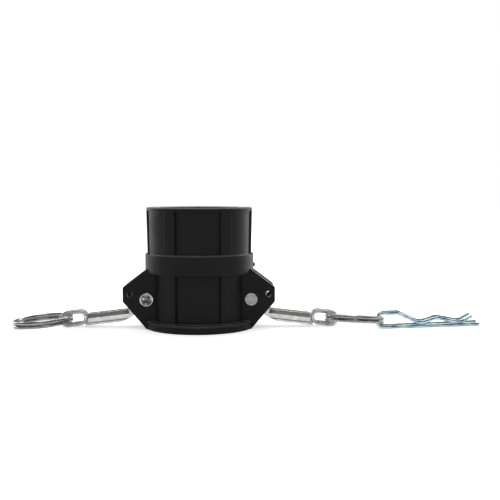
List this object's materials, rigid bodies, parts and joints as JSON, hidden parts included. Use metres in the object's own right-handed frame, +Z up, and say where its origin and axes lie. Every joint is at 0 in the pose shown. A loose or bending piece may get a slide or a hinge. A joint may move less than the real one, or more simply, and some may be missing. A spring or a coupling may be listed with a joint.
{
  "type": "cam and groove coupling",
  "caption": "Moulded hose coupling with a cam socket below, a female pipe thread above, hinged cam levers, split rings through their eyes and wavy wire retaining clips.",
  "frame": {"origin": "centre of the socket mouth, in the plane the coupling stands on", "axes": "+Z up the bore from the socket to the thread port; the levers open along +X and -X; the near ears and the front of the picture are at -Y"},
  "size_m": [0.299, 0.0702, 0.0761],
  "materials": {
    "moulding": "black glass-filled polypropylene, satin as moulded",
    "seal": "black nitrile rubber",
    "pin": "bright stainless steel",
    "lever": "tumbled investment-cast stainless steel",
    "ring": "dull grey steel wire",
    "clip": "bluish zinc-plated steel wire"
  },
  "bodies": {
    "body": {"coupler_body": "moulding", "gasket": "seal", "cam_pin_left": "pin", "cam_pin_right": "pin"},
    "lever_left": {"cam_lever_left": "lever"},
    "lever_right": {"cam_lever_right": "lever"},
    "ring_left": {"split_ring_left": "ring"},
    "ring_right": {"split_ring_right": "ring"},
    "clip_near": {"safety_clip_near": "clip"},
    "clip_far": {"safety_clip_far": "clip"}
  },
  "joints": [
    {"name": "lever_left_turn", "type": "hinge", "parent": "body", "child": "lever_left", "pos_m": [-0.0326, 0, 0.0188], "axis": [0, 1, 0], "range_deg": [-18, 96.5]},
    {"name": "lever_right_turn", "type": "hinge", "parent": "body", "child": "lever_right", "pos_m": [0.0326, 0, 0.0188], "axis": [0, -1, 0], "range_deg": [-18, 96.5]},
    {"name": "ring_left_swing", "type": "hinge", "parent": "lever_left", "child": "ring_left", "pos_m": [-0.08198, 0, 0.00519], "axis": [0, -1, 0], "range_deg": [-15, 95]},
    {"name": "ring_right_swing", "type": "hinge", "parent": "lever_right", "child": "ring_right", "pos_m": [0.08198, 0, 0.00519], "axis": [0.342, 0.9397, 0], "range_deg": [-15, 95]},
    {"name": "clip_near_swing", "type": "hinge", "parent": "ring_right", "child": "clip_near", "pos_m": [0.11555, -0.014, 0.00531], "axis": [-0.1564, 0.9877, 0], "range_deg": [-45, 45]},
    {"name": "clip_far_swing", "type": "hinge", "parent": "ring_right", "child": "clip_far", "pos_m": [0.11708, -0.007, 0.00531], "axis": [-0.2079, 0.9781, 0], "range_deg": [-45, 45]}
  ]
}
